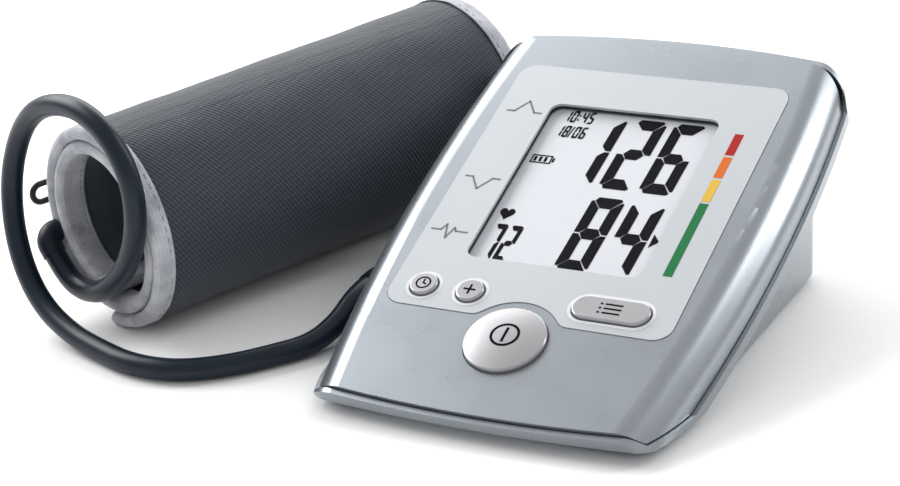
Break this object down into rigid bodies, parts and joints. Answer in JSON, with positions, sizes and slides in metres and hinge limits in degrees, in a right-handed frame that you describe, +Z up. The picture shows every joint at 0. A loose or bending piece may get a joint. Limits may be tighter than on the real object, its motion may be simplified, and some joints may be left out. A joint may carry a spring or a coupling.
{
  "type": "upper arm blood pressure monitor",
  "caption": "Wedge-shaped desk unit with a sloping display and press buttons, an air hose, and a rolled fabric arm cuff that the hose inflates.",
  "frame": {"origin": "middle of the footprint of the unit and its cuff, on the table", "axes": "+X to the right of the unit, +Y away from the person who reads it, +Z up"},
  "size_m": [0.2085, 0.1629, 0.07],
  "materials": {
    "body_plastic": "fine satin, silver grey",
    "plate_plastic": "satin, pale silver",
    "button_plastic": "satin silver",
    "lens": "clear, polished",
    "display": "pale reflective display",
    "inner_plastic": "plain moulded",
    "contact_rubber": "plain",
    "board": "green solder mask",
    "sensor_plastic": "plain moulded",
    "steel": "zinc plated",
    "cell_wrap": "printed wrap without words",
    "door_plastic": "fine satin, silver grey",
    "foot_rubber": "matt",
    "socket_plastic": "satin, dark grey",
    "hose_rubber": "satin, navy slate",
    "shell_fabric": "ribbed nylon, dark slate",
    "padding": "soft foam",
    "bladder_rubber": "film",
    "lining_fabric": "smooth navy lining",
    "edge_tape": "woven pale grey tape, stitched",
    "ring_wire": "black"
  },
  "bodies": {
    "unit": {"top_cover": "body_plastic", "bottom_case": "body_plastic", "rubber_feet": "foot_rubber", "case_screws": "steel", "face_plate": "plate_plastic", "window_lens": "lens", "display_panel": "display", "display_holder": "inner_plastic", "contact_strip": "contact_rubber", "circuit_board": "board", "button_switches": "inner_plastic", "pressure_sensor": "sensor_plastic", "buzzer": "inner_plastic", "battery_cells": "cell_wrap", "battery_contacts": "steel", "pump_motor": "steel", "pump_head": "inner_plastic", "release_valve": "inner_plastic", "air_socket": "socket_plastic", "inner_tube": "contact_rubber"},
    "start_button": {"start_button": "button_plastic"},
    "plus_button": {"plus_button": "button_plastic"},
    "time_button": {"time_button": "button_plastic"},
    "memory_button": {"memory_button": "button_plastic"},
    "battery_door": {"battery_door": "door_plastic"},
    "cuff": {"cuff_shell": "shell_fabric", "cuff_padding": "padding", "air_bladder": "bladder_rubber", "cuff_lining": "lining_fabric", "near_edge_tape": "edge_tape", "far_edge_tape": "edge_tape", "cuff_elbow": "socket_plastic", "ring_loop": "shell_fabric", "air_hose": "hose_rubber", "hose_plug": "socket_plastic"},
    "closing_ring": {"closing_ring": "ring_wire"}
  },
  "joints": [
    {"name": "start_press", "type": "slide", "parent": "unit", "child": "start_button", "axis": [0, 0.342, -0.9397], "range_m": [0, 0.001], "stiffness_N_per_m": 300, "springref_m": -0.001},
    {"name": "plus_press", "type": "slide", "parent": "unit", "child": "plus_button", "axis": [0, 0.342, -0.9397], "range_m": [0, 0.001], "stiffness_N_per_m": 300, "springref_m": -0.001},
    {"name": "time_press", "type": "slide", "parent": "unit", "child": "time_button", "axis": [0, 0.342, -0.9397], "range_m": [0, 0.001], "stiffness_N_per_m": 300, "springref_m": -0.001},
    {"name": "memory_press", "type": "slide", "parent": "unit", "child": "memory_button", "axis": [0, 0.342, -0.9397], "range_m": [0, 0.001], "stiffness_N_per_m": 300, "springref_m": -0.001},
    {"name": "door_hinge", "type": "hinge", "parent": "unit", "child": "battery_door", "pos_m": [0.05, -0.0201, 0.0012], "axis": [-1, 0, 0], "range_deg": [0, 65]},
    {"name": "plug_pull", "type": "slide", "parent": "unit", "child": "cuff", "axis": [-1, 0, 0], "range_m": [0, 0.02]},
    {"name": "ring_swing", "type": "hinge", "parent": "cuff", "child": "closing_ring", "pos_m": [-0.09946, -0.03371, 0.0333], "axis": [0.3827, 0.9239, 0], "range_deg": [0, 80]}
  ]
}
